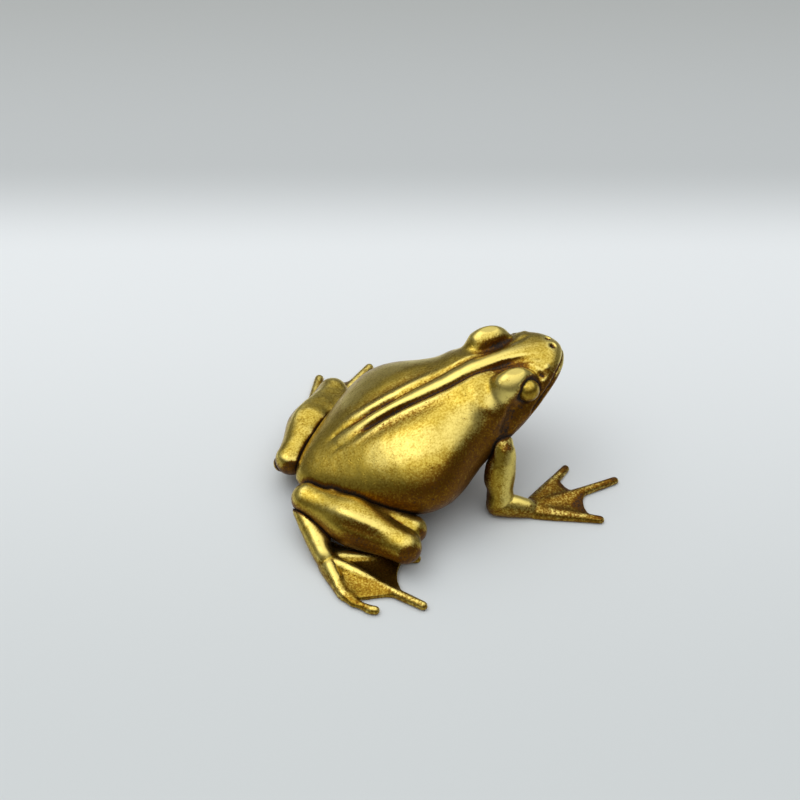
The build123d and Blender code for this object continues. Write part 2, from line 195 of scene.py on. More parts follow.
class Skin:
    """A closed skin in millimetres that can be smoothed, carved and aged."""

    DRAW_IN: float = 0.5         # share of the way to the neighbours' mean in a round of smoothing
    PUSH_OUT: float = -0.505     # the step back that keeps the volume
    LUMP_HEIGHT: float = 0.012   # height of the casting's lumps in millimetres
    FINGER_BAND: Point = (6.0, 3.5)     # heights in millimetres between which fingers and toes begin
    SIDE_BAND: Point = (0.48, 0.8)      # parts of the normal between which a face comes to look sideways
    UNDER_BAND: Point = (0.5, -0.2)     # the same for looking down
    TOP_BAND: Point = (0.4, 0.95)       # for looking up
    LEVEL_BAND: Point = (0.6, 0.9)      # for lying level
    LIT_SIDE_BAND: Point = (0.1, 0.8)    # for looking the way that gets painted light
    SHADED_SIDE_BAND: Point = (0.0, -0.7)      # for looking the other way, which gets painted shade
    CREASE_STAIN: float = 0.9    # patina in a full crease
    HOLLOW_STAIN: float = 0.8    # patina in a full broad hollow
    CREST_WEAR: float = 0.7      # wear on a full broad crest
    TOP_WEAR_AND_SHEEN: float = 0.2        # wear and painted light on faces that look up
    SHELTER_AND_SHADE: float = 0.8         # share of the wear kept off the webs, which nothing reaches, and off faces that look sideways or down, as painted shade
    LIT_SIDE_CLEARING: float = 0.7         # share of the patina taken off faces that look the lit way, as painted light

    def __init__(self, name: str, mesh: bpy.types.Mesh) -> None:
        """Reads the points and edges of a mesh.

        Args:
            name: name of the piece.
            mesh: mesh in millimetres, which the skin then owns.
        """
        self.name = name
        self.mesh = mesh
        self.points = np.empty(len(mesh.vertices) * 3)
        mesh.vertices.foreach_get("co", self.points)
        self.points = self.points.reshape(-1, 3)
        edges = np.empty(len(mesh.edges) * 2, dtype=np.int64)
        mesh.edges.foreach_get("vertices", edges)
        edges = edges.reshape(-1, 2)
        self.start = np.concatenate([edges[:, 0], edges[:, 1]])
        self.end = np.concatenate([edges[:, 1], edges[:, 0]])
        self.count = np.maximum(np.bincount(self.start, minlength=len(self.points)), 1)
        # The patina also holds painted shade, and the wear painted highlights, besides the real patina and
        # wear.
        self.patina = np.zeros(len(self.points))
        self.wear = np.zeros(len(self.points))

    @classmethod
    def from_nodes(
        cls, name: str, nodes: list[str], voxel: float, lifts: dict[str, float] | None = None,
    ) -> "Skin":
        """Joins copies of CAD nodes into one evenly meshed closed skin.

        Args:
            name: name of the piece.
            nodes: CAD nodes to copy.
            voxel: size of the mesh's cells in millimetres.
            lifts: how far a node's copy is raised, in millimetres, to close a seam.

        Returns:
            The skin, without any hollow that lies inside it.
        """
        joined = bmesh.new()
        for node in nodes:
            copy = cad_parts[node].data.copy()
            lift = (lifts or {}).get(node, 0.0)
            copy.transform(Matrix.Translation((0.0, 0.0, lift)) @ Matrix.Scale(1.0 / MM, 4))
            joined.from_mesh(copy)
            bpy.data.meshes.remove(copy)
        mesh = bpy.data.meshes.new(name)
        joined.to_mesh(mesh)
        joined.free()
        even = modified(mesh, "REMESH", mode="VOXEL", voxel_size=voxel)
        even.name = name
        cls._keep_outer_shell(even)
        return cls(name, even)

    @staticmethod
    def _keep_outer_shell(mesh: bpy.types.Mesh) -> None:
        """Deletes every shell of a mesh but the one with the most faces.

        Args:
            mesh: mesh to clean.
        """
        shell = bmesh.new()
        shell.from_mesh(mesh)
        shell.verts.ensure_lookup_table()
        seen = np.zeros(len(shell.verts), dtype=bool)
        groups = []
        for seed in shell.verts:
            if seen[seed.index]:
                continue
            seen[seed.index] = True
            group = [seed]
            for vert in group:
                for edge in vert.link_edges:
                    other = edge.other_vert(vert)
                    if not seen[other.index]:
                        seen[other.index] = True
                        group.append(other)
            groups.append(group)
        groups.sort(key=len, reverse=True)
        inner = [vert for group in groups[1:] for vert in group]
        if inner:
            bmesh.ops.delete(shell, geom=inner, context="VERTS")
            shell.to_mesh(mesh)
        shell.free()

    def neighbour_mean(self, values: np.ndarray) -> np.ndarray:
        """Mean of each point's neighbours.

        Args:
            values: one value or one row of values for each point.

        Returns:
            The means, in the same shape.
        """
        if values.ndim == 1:
            return np.bincount(self.start, weights=values[self.end], minlength=len(values)) / self.count
        return np.stack([self.neighbour_mean(values[:, axis]) for axis in range(values.shape[1])], axis=1)

    def smoothed(self, values: np.ndarray, rounds: int, strength: float = DRAW_IN) -> np.ndarray:
        """Values after a number of rounds of smoothing.

        Args:
            values: values at the points.
            rounds: number of rounds.
            strength: share of the way to the neighbours' mean in each round.

        Returns:
            The smoothed values.
        """
        for _ in range(rounds):
            values = values + strength * (self.neighbour_mean(values) - values)
        return values

    def relax(self, rounds: int) -> None:
        """Smooths the facets out of the skin and keeps its volume.

        Args:
            rounds: number of rounds.
        """
        for _ in range(rounds):
            self.points = self.smoothed(self.points, 1)
            self.points = self.smoothed(self.points, 1, self.PUSH_OUT)
        self.write_points()

    def write_points(self) -> None:
        """Puts the points back in the mesh."""
        self.mesh.vertices.foreach_set("co", self.points.ravel())
        self.mesh.update()

    def normals(self) -> np.ndarray:
        """Unit normals at the points."""
        self.write_points()
        flat = np.empty(len(self.points) * 3, dtype=np.float32)
        self.mesh.vertex_normals.foreach_get("vector", flat)
        return flat.reshape(-1, 3).astype(float)

    def tree(self) -> BVHTree:
        """Search tree over the faces."""
        faces = [tuple(face.vertices) for face in self.mesh.polygons]
        return BVHTree.FromPolygons([tuple(point) for point in self.points], faces)

    def lay(self, stroke: Stroke, side: Side, tree: BVHTree) -> np.ndarray:
        """Lays the points of a stroke on the skin.

        Args:
            stroke: stroke to lay.
            side: side of the frog.
            tree: search tree over the skin.

        Returns:
            Points along the stroke, evenly spaced, in millimetres.
        """
        height = 100.0
        down = Vector((0.0, 0.0, -1.0))
        laid = []
        for row in even_path(np.array(stroke.path, dtype=float)):
            along, across = RUMP + row[0], row[1] * side.sign
            if stroke.facing is Facing.ABOVE:
                hit = tree.ray_cast(Vector((along, across, height)), down)[0]
            else:
                hit = tree.find_nearest(Vector((along, across, row[2])))[0]
            if hit is not None:
                laid.append(tuple(hit))
        return np.array(laid)

    def carve(self, strokes: list[Stroke]) -> None:
        """Cuts strokes into both sides of the skin, or raises them.

        Args:
            strokes: strokes to lay, each with its share on either side.
        """
        tree = self.tree()
        normals = self.normals()
        push = np.zeros(len(self.points))
        for stroke in strokes:
            for side in Side:
                share = stroke.share(side)
                if share <= 0:
                    continue
                laid = self.lay(stroke, side, tree)
                if len(laid) < 1:
                    LOG.warning("stroke %s misses %s", stroke.name, self.name)
                    continue
                near, weight = stroke_weight(self.points, laid, stroke)
                push[near] -= weight * stroke.depth * share
                self.patina[near] = np.maximum(self.patina[near], weight * stroke.patina)
                self.wear[near] = np.maximum(self.wear[near], weight * stroke.wear)
        self.points = self.points + normals * push[:, None]
        self.write_points()

    def fill_creases(self, rounds: int, strength: float = 0.8) -> None:
        """Runs metal into the creases, as a casting does, and leaves the crests alone.

        Args:
            rounds: number of rounds.
            strength: share of each crease's depth that one round fills.
        """
        for count in range(rounds):
            if count % 4 == 0:
                normals = self.normals()
            lift = ((self.neighbour_mean(self.points) - self.points) * normals).sum(axis=1)
            self.points = self.points + normals * (strength * np.maximum(lift, 0.0))[:, None]
        self.points = self.smoothed(self.points, 2)
        self.write_points()

    def near(self, places: Path, reach: float) -> np.ndarray:
        """Nearness of every point to places on both sides.

        Args:
            places: places forward of the rump, out from the middle and up, in millimetres.
            reach: distance at which the nearness is 0.

        Returns:
            The nearness, 0 to 1.
        """
        weight = np.zeros(len(self.points))
        for along, out, up in places:
            for side in Side:
                gap = np.linalg.norm(self.points - np.array([RUMP + along, side.sign * out, up]), axis=1)
                weight = np.maximum(weight, smooth_step(reach, 0.3 * reach, gap))
        return weight

    def soften(self, places: Path, reach: float, rounds: int, fill_only: bool = False) -> None:
        """Rounds off places on both sides.

        Args:
            places: places forward of the rump, out from the middle and up, in millimetres.
            reach: how far the rounding goes.
            rounds: number of rounds of smoothing.
            fill_only: fills the hollows there and leaves the crests alone.
        """
        weight = self.near(places, reach)
        spots = np.where(weight > 0)[0]
        if not len(spots):
            return
        row = np.full(len(self.points), -1)
        row[spots] = np.arange(len(spots))
        inner = row[self.start] >= 0
        start, end, share = row[self.start[inner]], self.end[inner], weight[spots][:, None]
        for turn in range(rounds):
            if fill_only and turn % 50 == 0:
                normals = self.normals()[spots]
            ends = self.points[end]
            sums = [np.bincount(start, weights=ends[:, axis], minlength=len(spots)) for axis in range(3)]
            move = np.stack(sums, axis=1) / self.count[spots][:, None] - self.points[spots]
            if fill_only:
                move = normals * np.maximum((move * normals).sum(axis=1), 0.0)[:, None]
            self.points[spots] += self.DRAW_IN * share * move
        self.write_points()

    def taper(self, root: Point, near: float, far: float, thick: float, thin: float) -> None:
        """Thickens the fingers or toes at their root and thins them at their tips.

        Args:
            root: place of the wrist or ankle, forward of the rump, across to the left and up, in millimetres.
            near: distance from the root where the thickening is full.
            far: distance where the thinning is full.
            thick: metal added at the root.
            thin: metal taken off at the tips.
        """
        gap = np.linalg.norm(self.points - np.array([RUMP + root[0], root[1], root[2]]), axis=1)
        low = smooth_step(*self.FINGER_BAND, self.points[:, 2])
        push = low * (thick - (thick + thin) * smooth_step(near, far, gap))
        self.points = self.points + self.normals() * push[:, None]
        self.write_points()

    def nudge(self, place: Point, reach: float, move: Point) -> None:
        """Pushes one place over, as a thumb does in wax.

        Args:
            place: the place, forward of the rump, across to the left and up, in millimetres.
            reach: how far the push is felt.
            move: the push there.
        """
        centre = np.array(place) + np.array([RUMP, 0.0, 0.0])
        weight = smooth_step(reach, 0.0, np.linalg.norm(self.points - centre, axis=1))[:, None]
        self.points = self.points + weight * np.array(move)
        self.write_points()

    def run_into(self, other: "Skin", low: float, high: float, share: float) -> None:
        """Draws the top of this skin towards another, so that it runs into it.

        Args:
            other: the skin to run into.
            low: height in millimetres where the drawing in starts.
            high: height where it is full.
            share: how much of the distance is closed there.
        """
        tree = other.tree()
        pull = share * smooth_step(low, high, self.points[:, 2])
        for index in np.where(pull > 0)[0]:
            target = np.array(tree.find_nearest(Vector(self.points[index]))[0])
            self.points[index] += pull[index] * (target - self.points[index])
        self.points = self.smoothed(self.points, 3)
        self.write_points()

    def roughen(self, lump: float, seed: int) -> None:
        """Eases the carving's edges and adds the faint lumps of a sand casting.

        Args:
            lump: size of the lumps in millimetres.
            seed: seed of the random waves.
        """
        self.points = self.smoothed(self.points, 2)
        maker = np.random.default_rng(seed)
        waves = 26
        directions = maker.normal(size=(waves, 3))
        directions /= np.linalg.norm(directions, axis=1)[:, None]
        lengths = lump * maker.uniform(0.7, 1.9, waves)
        phases = maker.uniform(0.0, 2.0 * math.pi, waves)
        angles = (self.points @ directions.T) * (2.0 * math.pi / lengths) + phases
        push = self.LUMP_HEIGHT * np.sin(angles).sum(axis=1) / math.sqrt(waves)
        self.points = self.points + self.normals() * push[:, None]
        self.write_points()

    def age(
        self, fine_rounds: int, broad_rounds: int, fine_depth: float, broad_depth: float, shade: float,
    ) -> None:
        """Darkens hollows and brightens crests, by how far the skin lies below or above its smoothed self,
        and paints shade on faces that look sideways or down and light on faces that look up.

        Args:
            fine_rounds: rounds of smoothing that find creases.
            broad_rounds: rounds of smoothing that find broad hollows and crests.
            fine_depth: depth of a full crease in millimetres.
            broad_depth: depth of a full hollow in millimetres.
            shade: patina painted on faces that look sideways or down, as painted shade.
        """
        normals = self.normals()
        fine = self.smoothed(self.points, fine_rounds)
        broad = self.smoothed(fine, broad_rounds)
        crease = ((fine - self.points) * normals).sum(axis=1)
        hollow = ((broad - self.points) * normals).sum(axis=1)
        # Painted shade: faces that look sideways or down are darkened with patina.
        aside = smooth_step(*self.SIDE_BAND, np.abs(normals[:, 1]))
        under = np.maximum(aside, smooth_step(*self.UNDER_BAND, normals[:, 2]))
        top = smooth_step(*self.TOP_BAND, normals[:, 2])
        for stain in (
            shade * under,
            self.CREASE_STAIN * smooth_step(0.15 * fine_depth, fine_depth, crease),
            self.HOLLOW_STAIN * smooth_step(0.1 * broad_depth, broad_depth, hollow),
        ):
            self.patina = np.maximum(self.patina, stain)
        self.wear = np.maximum(self.wear, smooth_step(0.2 * fine_depth, fine_depth, -crease))
        crest = smooth_step(0.2 * broad_depth, 1.6 * broad_depth, -hollow)
        self.wear = np.maximum(self.wear, self.CREST_WEAR * crest)
        # Painted shade takes the wear off faces that look sideways or down; painted light adds wear on faces
        # that look up.
        self.wear = self.wear * (1.0 - self.SHELTER_AND_SHADE * under) + self.TOP_WEAR_AND_SHEEN * top

    def stain_webs(self, top: float, stain: float) -> None:
        """Leaves dark patina on the webs, which hands and cloth don't reach.

        Args:
            top: height in millimetres under which a level face belongs to a web.
            stain: patina left there.
        """
        level = smooth_step(*self.LEVEL_BAND, self.normals()[:, 2])
        level = level * smooth_step(top + 0.2, top, self.points[:, 2])
        self.patina = np.maximum(self.patina, stain * self.smoothed(level, 4))
        self.wear = self.wear * (1.0 - self.SHELTER_AND_SHADE * level)

    def paint_highlight(self, places: Path, reach: float, share: float) -> None:
        """Paints highlights on places on both sides, by taking the patina off and leaving wear.

        Args:
            places: places forward of the rump, out from the middle and up, in millimetres.
            reach: how far the rubbing goes.
            share: share of the patina taken off, and the wear left.
        """
        weight = self.near(places, reach)
        self.patina = self.patina * (1.0 - share * weight)
        self.wear = np.maximum(self.wear, share * weight)

    def age_low(self, low: float, high: float, stain: float) -> None:
        """Leaves a brown cast on what lies close to the table.

        Args:
            low: height in millimetres under which it is full.
            high: height where it ends.
            stain: patina left there.
        """
        cast = stain * smooth_step(high, low, self.points[:, 2])
        self.patina = np.maximum(self.patina, cast)
        self.wear = self.wear * (1.0 - cast)

    def paint_lit_side(self, direction: Point, rubbed: float, shaded_side: float) -> None:
        """Paints light on the faces that look one way, as wear, and paints shade on those that look the
        other, as patina.

        Args:
            direction: the way that the lit faces look.
            rubbed: wear added on the one side, as painted light.
            shaded_side: patina added on the other, as painted shade.
        """
        facing = self.normals() @ (np.array(direction) / np.linalg.norm(direction))
        towards = smooth_step(*self.LIT_SIDE_BAND, facing)
        self.wear = np.maximum(self.wear, rubbed * towards)
        self.patina = self.patina * (1.0 - self.LIT_SIDE_CLEARING * towards)
        self.patina = np.maximum(self.patina, shaded_side * smooth_step(*self.SHADED_SIDE_BAND, facing))

    def age_beside(self, others: list["Skin"], reach: float) -> None:
        """Darkens the skin where it comes close to other pieces.

        Args:
            others: skins of the other pieces.
            reach: distance in millimetres at which the darkening starts.
        """
        low, high = self.points.min(axis=0) - reach, self.points.max(axis=0) + reach
        for other in others:
            if (other.points.min(axis=0) > high).any() or (other.points.max(axis=0) < low).any():
                continue
            tree = other.tree()
            box_low, box_high = other.points.min(axis=0) - reach, other.points.max(axis=0) + reach
            close = np.where(((self.points > box_low) & (self.points < box_high)).all(axis=1))[0]
            gaps = np.full(len(close), reach)
            for row, index in enumerate(close):
                distance = tree.find_nearest(Vector(self.points[index]), reach)[3]
                if distance is not None:
                    gaps[row] = distance
            dark = smooth_step(reach, 0.1 * reach, gaps)
            self.patina[close] = np.maximum(self.patina[close], dark)

    def piece(self, material: bpy.types.Material) -> bpy.types.Object:
        """Turns the skin into a piece of the scene, in metres, with its ageing held at its points.

        Args:
            material: finish of the piece.

        Returns:
            The piece.
        """
        self.points = np.clip(self.points, np.array(CAD_BOX[0]) / MM, np.array(CAD_BOX[1]) / MM)
        self.write_points()
        # The patina and wear held here carry painted shade and painted highlights along with the real ones.
        for label, values in (("patina", self.patina), ("wear", self.wear)):
            held = self.mesh.attributes.new(label, "FLOAT", "POINT")
            held.data.foreach_set("value", np.clip(self.smoothed(values, 1), 0.0, 1.0))
        self.mesh.transform(Matrix.Scale(MM, 4))
        self.mesh.materials.clear()
        self.mesh.materials.append(material)
        self.mesh.polygons.foreach_set("use_smooth", np.ones(len(self.mesh.polygons), dtype=bool))
        LOG.info("%s: %d faces", self.name, len(self.mesh.polygons))
        return put(self.name, self.mesh)


def even_path(path: np.ndarray, step: float = 0.5) -> np.ndarray:
    """Rounds a path through its points and spaces it evenly.

    Args:
        path: points of the path, one row each.
        step: spacing in millimetres.

    Returns:
        Points along the path.
    """
    if len(path) < 2:
        return path
    padded = np.vstack([2 * path[0] - path[1], path, 2 * path[-1] - path[-2]])
    rows = []
    for index in range(1, len(padded) - 2):
        before, first, last, after = padded[index - 1:index + 3]
        parts = max(2, int(np.linalg.norm(last - first) / step))
        for share in np.linspace(0.0, 1.0, parts, endpoint=False):
            rows.append(0.5 * (2 * first + (last - before) * share
                               + (2 * before - 5 * first + 4 * last - after) * share ** 2
                               + (3 * first - before - 3 * last + after) * share ** 3))
    rows.append(path[-1])
    return np.array(rows)


def stroke_weight(points: np.ndarray, laid: np.ndarray, stroke: Stroke) -> tuple[np.ndarray, np.ndarray]:
    """Strength of a stroke at the points near it.

    Args:
        points: points of the skin.
        laid: points along the stroke.
        stroke: the stroke.

    Returns:
        Indices of the points that the stroke touches, and its strength there.
    """
    reach = STROKE_REACH * stroke.width
    inside = (points > laid.min(axis=0) - reach) & (points < laid.max(axis=0) + reach)
    near = np.where(inside.all(axis=1))[0]
    spots = points[near]
    best = np.full(len(near), np.inf)
    along = np.zeros(len(near))
    if len(laid) == 1:
        best = np.linalg.norm(spots - laid[0], axis=1)
        fade = np.ones(len(near))
    else:
        total = len(laid) - 1
        for index in range(total):
            run = laid[index + 1] - laid[index]
            share = np.clip(((spots - laid[index]) @ run) / max(run @ run, 1e-9), 0.0, 1.0)
            gap = np.linalg.norm(spots - laid[index] - share[:, None] * run, axis=1)
            closer = gap < best
            best[closer] = gap[closer]
            along[closer] = (index + share[closer]) / total
        taper = max(stroke.taper_share, 1e-3)
        fade = smooth_step(0.0, taper, along) * smooth_step(0.0, taper, 1.0 - along)
        if stroke.taper_share <= 0:
            fade = np.ones(len(near))
    flat = stroke.flat_share * stroke.width
    ratio = np.maximum(best - flat, 0.0) / max(stroke.width - flat, 1e-6)
    return near, np.exp(-ratio ** 2 * STROKE_FALL) * fade


def part_skin(skin: Skin, names: tuple[str, str], seam: Path) -> tuple[Skin, Skin]:
    """Parts a carved skin at a seam into two closed skins.

    Args:
        skin: the carved skin.
        names: names of the piece above the seam and of the piece below it.
        seam: the seam seen from the side, as (forward, up) from rump to snout.

    Returns:
        The two skins, aged as the whole one is.
    """
    lookup = KDTree(len(skin.points))
    for index, point in enumerate(skin.points):
        lookup.insert(point, index)
    lookup.balance()
    reach = 60.0    # half the width of the cutting block, past the skin on every side
    parts = []
    for name, far in zip(names, (reach, -reach)):
        outline = [(RUMP + along, up) for along, up in seam]
        outline += [(outline[-1][0], far), (outline[0][0], far)]
        block = bmesh.new()
        rings = [[block.verts.new((x, y, z)) for x, z in outline] for y in (-reach, reach)]
        block.faces.new(rings[0])
        block.faces.new(list(reversed(rings[1])))
        for index in range(len(outline)):
            after = (index + 1) % len(outline)
            block.faces.new((rings[0][after], rings[0][index], rings[1][index], rings[1][after]))
        bmesh.ops.recalc_face_normals(block, faces=block.faces)
        block_mesh = bpy.data.meshes.new("seam_block")
        block.to_mesh(block_mesh)
        block.free()
        cutter = put("seam_block", block_mesh)
        whole = skin.mesh.copy()
        mesh = modified(whole, "BOOLEAN", operation="INTERSECT", solver="MANIFOLD", object=cutter)
        mesh.name = name
        bpy.data.objects.remove(cutter)
        bpy.data.meshes.remove(block_mesh)
        half = Skin(name, mesh)
        near = np.array([lookup.find(point)[1] for point in half.points])
        half.patina, half.wear = skin.patina[near], skin.wear[near]
        mesh.set_sharp_from_angle(angle=SEAM_ANGLE)
        parts.append(half)
    bpy.data.meshes.remove(skin.mesh)
    return parts[0], parts[1]


class NodeSheet:
    """Lays out the nodes of one shader tree or group."""

    def __init__(self, tree: bpy.types.NodeTree) -> None:
        """Takes a tree to fill.

        Args:
            tree: tree of a material, world or group.
        """
        self.tree = tree

    @classmethod
    def fresh(cls, owner: bpy.types.Material | bpy.types.World) -> "NodeSheet":
        """Empties the tree of a material or world.

        Args:
            owner: the material or world.

        Returns:
            A sheet over its empty tree.
        """
        owner.use_nodes = True
        owner.node_tree.nodes.clear()
        return cls(owner.node_tree)

    def node(self, kind: str, **settings: object) -> bpy.types.Node:
        """Adds a node.

        Args:
            kind: the node's type name.
            settings: properties to set on it.

        Returns:
            The node.
        """
        made = self.tree.nodes.new(kind)
        for key, value in settings.items():
            setattr(made, key, value)
        return made

    def link(self, source: bpy.types.NodeSocket, target: bpy.types.NodeSocket) -> None:
        """Links two sockets."""
        self.tree.links.new(source, target)

    def feed(self, target: bpy.types.NodeSocket, value: object) -> None:
        """Links a socket, or sets its value.

        Args:
            target: socket to feed.
            value: another socket, or a plain value.
        """
        if isinstance(value, bpy.types.NodeSocket):
            self.link(value, target)
        else:
            target.default_value = value

    def math(
        self, operation: str, first: object, second: object = 0.0, clamp: bool = False,
    ) -> bpy.types.NodeSocket:
        """Sum, product or other step between two values.

        Args:
            operation: the step's name.
            first: first value or socket.
            second: second value or socket.
            clamp: keeps the result from 0 to 1.

        Returns:
            The result's socket.
        """
        made = self.node("ShaderNodeMath", operation=operation, use_clamp=clamp)
        self.feed(made.inputs[0], first)
        self.feed(made.inputs[1], second)
        return made.outputs[0]

    def plus(self, first: object, second: object, share: float) -> bpy.types.NodeSocket:
        """Sum of a value and a share of another."""
        return self.math("ADD", first, self.math("MULTIPLY", second, share))

    def ramp(self, value: object, low: float, high: float) -> bpy.types.NodeSocket:
        """Eases a value from 0 at low to 1 at high.

        Args:
            value: value or socket.
            low: value that gives 0.
            high: value that gives 1.

        Returns:
            The eased value's socket.
        """
        made = self.node("ShaderNodeMapRange", interpolation_type="SMOOTHSTEP")
        self.feed(made.inputs["Value"], value)
        self.feed(made.inputs["From Min"], low)
        self.feed(made.inputs["From Max"], high)
        return made.outputs[0]

    def blend(self, share: object, first: object, second: object) -> bpy.types.NodeSocket:
        """Mixes two colours.

        Args:
            share: share of the second colour.
            first: first colour or socket.
            second: second colour or socket.

        Returns:
            The mixed colour's socket.
        """
        made = self.node("ShaderNodeMix", data_type="RGBA", clamp_factor=True)
        self.feed(made.inputs[0], share)
        self.feed(made.inputs[6], first)
        self.feed(made.inputs[7], second)
        return made.outputs[2]

    def noise(self, place: bpy.types.NodeSocket, scale: float, detail: float) -> bpy.types.NodeSocket:
        """Cloudy noise, 0 to 1.

        Args:
            place: coordinates.
            scale: cells in a metre.
            detail: number of finer layers.

        Returns:
            The noise's value.
        """
        made = self.node("ShaderNodeTexNoise")
        self.link(place, made.inputs["Vector"])
        made.inputs["Scale"].default_value = scale
        made.inputs["Detail"].default_value = detail
        made.inputs["Roughness"].default_value = 0.6
        return made.outputs[0]


@dataclass(frozen=True)
class BrassTones:
    """Colours of antiqued brass, from rubbed crest to black hollow."""

    rubbed: Colour = linear_colour(226, 205, 112)
    gold: Colour = linear_colour(189, 163, 62)
    olive: Colour = linear_colour(150, 118, 34)
    brown: Colour = linear_colour(110, 70, 15)
    dark: Colour = linear_colour(36, 22, 9)


class PatinaGroup:
    """Shader group that ages brass: dark hollows, rubbed crests, specks and pits."""

    NAME: str = "aged_brass"
    SOCKETS: tuple[tuple[str, str, tuple[str, ...]], ...] = (
        ("INPUT", "NodeSocketFloat", ("Patina", "Wear", "Grime", "Pitting")),
        ("INPUT", "NodeSocketColor", ("Rubbed", "Gold", "Olive", "Brown", "Dark")),
        ("OUTPUT", "NodeSocketColor", ("Color",)),
        ("OUTPUT", "NodeSocketFloat", ("Roughness", "Metallic", "Height")),
    )
    BROAD_SCALE: float = 130.0      # cells in a metre
    MIDDLE_SCALE: float = 800.0
    FINE_SCALE: float = 2600.0
    PIT_SCALE: float = 1900.0
    PIT_PLACES: Point = (0.42, 0.68)    # noise between which pits set in
    PIT_EDGE: Point = (0.04, 0.4)       # a pit's floor and rim, in cells
    DULL_BAND: Point = (0.05, 0.5)      # patina between which gold turns olive
    BROWN_BAND: Point = (0.2, 0.62)     # olive turns brown
    DARK_BAND: Point = (0.55, 1.0)      # brown turns black
    BRIGHT_BAND: Point = (0.2, 0.9)     # wear between which metal shows bare
    BARE_ROUGHNESS: float = 0.24

    def __init__(self) -> None:
        """Builds the group once."""
        self.tree = bpy.data.node_groups.new(self.NAME, "ShaderNodeTree")
        for way, kind, labels in self.SOCKETS:
            for label in labels:
                self.tree.interface.new_socket(name=label, in_out=way, socket_type=kind)
        self._fill()

    def _fill(self) -> None:
        """Lays out the group's nodes."""
        sheet = NodeSheet(self.tree)
        given = sheet.node("NodeGroupInput").outputs
        result = sheet.node("NodeGroupOutput").inputs
        place = sheet.node("ShaderNodeTexCoord").outputs["Object"]
        broad = sheet.noise(place, self.BROAD_SCALE, 3.0)
        middle = sheet.noise(place, self.MIDDLE_SCALE, 4.0)
        fine = sheet.noise(place, self.FINE_SCALE, 4.0)
        cells = sheet.node("ShaderNodeTexVoronoi", feature="F1")
        sheet.link(place, cells.inputs["Vector"])
        cells.inputs["Scale"].default_value = self.PIT_SCALE
        pit_size = sheet.math("MULTIPLY", given["Pitting"], sheet.ramp(middle, *self.PIT_PLACES))
        rims = sheet.ramp(cells.outputs["Distance"], *self.PIT_EDGE)
        pits = sheet.math("MULTIPLY", sheet.math("SUBTRACT", 1.0, rims, True), pit_size)
        cloud_share = sheet.math("MULTIPLY", given["Grime"], 0.6)
        speck_share = sheet.math("MULTIPLY", given["Grime"], 2.0)
        clouds = sheet.math("MULTIPLY", sheet.math("SUBTRACT", middle, 0.5), cloud_share)
        specks = sheet.math("MULTIPLY", sheet.math("SUBTRACT", fine, 0.5), speck_share)
        grain = sheet.math("ADD", clouds, specks)
        # Patina brings painted shade as well as real patina, and wear brings painted highlights as well as
        # real wear.
        aged = sheet.math("ADD", given["Patina"], grain)
        dull = sheet.ramp(sheet.plus(aged, broad, 0.35), *self.DULL_BAND)
        browned = sheet.ramp(sheet.plus(aged, pits, 0.35), *self.BROWN_BAND)
        dark = sheet.ramp(sheet.plus(aged, pits, 0.3), *self.DARK_BAND)
        bright = sheet.math("SUBTRACT", sheet.plus(given["Wear"], broad, 0.25), grain)
        bright = sheet.ramp(bright, *self.BRIGHT_BAND)
        colour = sheet.blend(dull, given["Gold"], given["Olive"])
        colour = sheet.blend(bright, colour, given["Rubbed"])
        colour = sheet.blend(browned, colour, given["Brown"])
        colour = sheet.blend(dark, colour, given["Dark"])
        sheet.link(colour, result["Color"])
        rough = sheet.plus(sheet.math("MULTIPLY", dark, 0.25), browned, 0.1)
        rough = sheet.math("ADD", sheet.plus(rough, middle, 0.16), self.BARE_ROUGHNESS)
        sheet.link(rough, result["Roughness"])
        metal = sheet.math("SUBTRACT", 1.0, sheet.math("MULTIPLY", dark, 0.55), True)
        sheet.link(metal, result["Metallic"])
        height = sheet.math("SUBTRACT", sheet.math("MULTIPLY", fine, 0.3), pits)
        sheet.link(sheet.plus(height, middle, 0.5), result["Height"])


@dataclass(frozen=True)
class AgedBrass:
    """One finish of antiqued brass."""

    name: str
    grime: float
    pitting: float
    bump: float
    bump_reach: float = 0.12 * MM
    tones: BrassTones = field(default_factory=BrassTones)

    def material(self, group: PatinaGroup) -> bpy.types.Material:
        """Builds the finish's material.

        Args:
            group: the shared ageing group.

        Returns:
            The material.
        """
        made = bpy.data.materials.new(self.name)
        sheet = NodeSheet.fresh(made)
        output = sheet.node("ShaderNodeOutputMaterial")
        shader = sheet.node("ShaderNodeBsdfPrincipled")
        aged = sheet.node("ShaderNodeGroup", node_tree=group.tree)
        # These attributes carry painted shade and painted highlights along with real patina and wear.
        for label in ("patina", "wear"):
            held = sheet.node("ShaderNodeAttribute", attribute_name=label)
            sheet.link(held.outputs["Fac"], aged.inputs[label.capitalize()])
        aged.inputs["Grime"].default_value = self.grime
        aged.inputs["Pitting"].default_value = self.pitting
        for label in ("rubbed", "gold", "olive", "brown", "dark"):
            aged.inputs[label.capitalize()].default_value = (*getattr(self.tones, label), 1.0)
        for label, target in (("Color", "Base Color"), ("Roughness", "Roughness"), ("Metallic", "Metallic")):
            sheet.link(aged.outputs[label], shader.inputs[target])
        bump = sheet.node("ShaderNodeBump")
        bump.inputs["Strength"].default_value = self.bump
        bump.inputs["Distance"].default_value = self.bump_reach
        sheet.link(aged.outputs["Height"], bump.inputs["Height"])
        sheet.link(bump.outputs["Normal"], shader.inputs["Normal"])
        sheet.link(shader.outputs[0], output.inputs["Surface"])
        return made


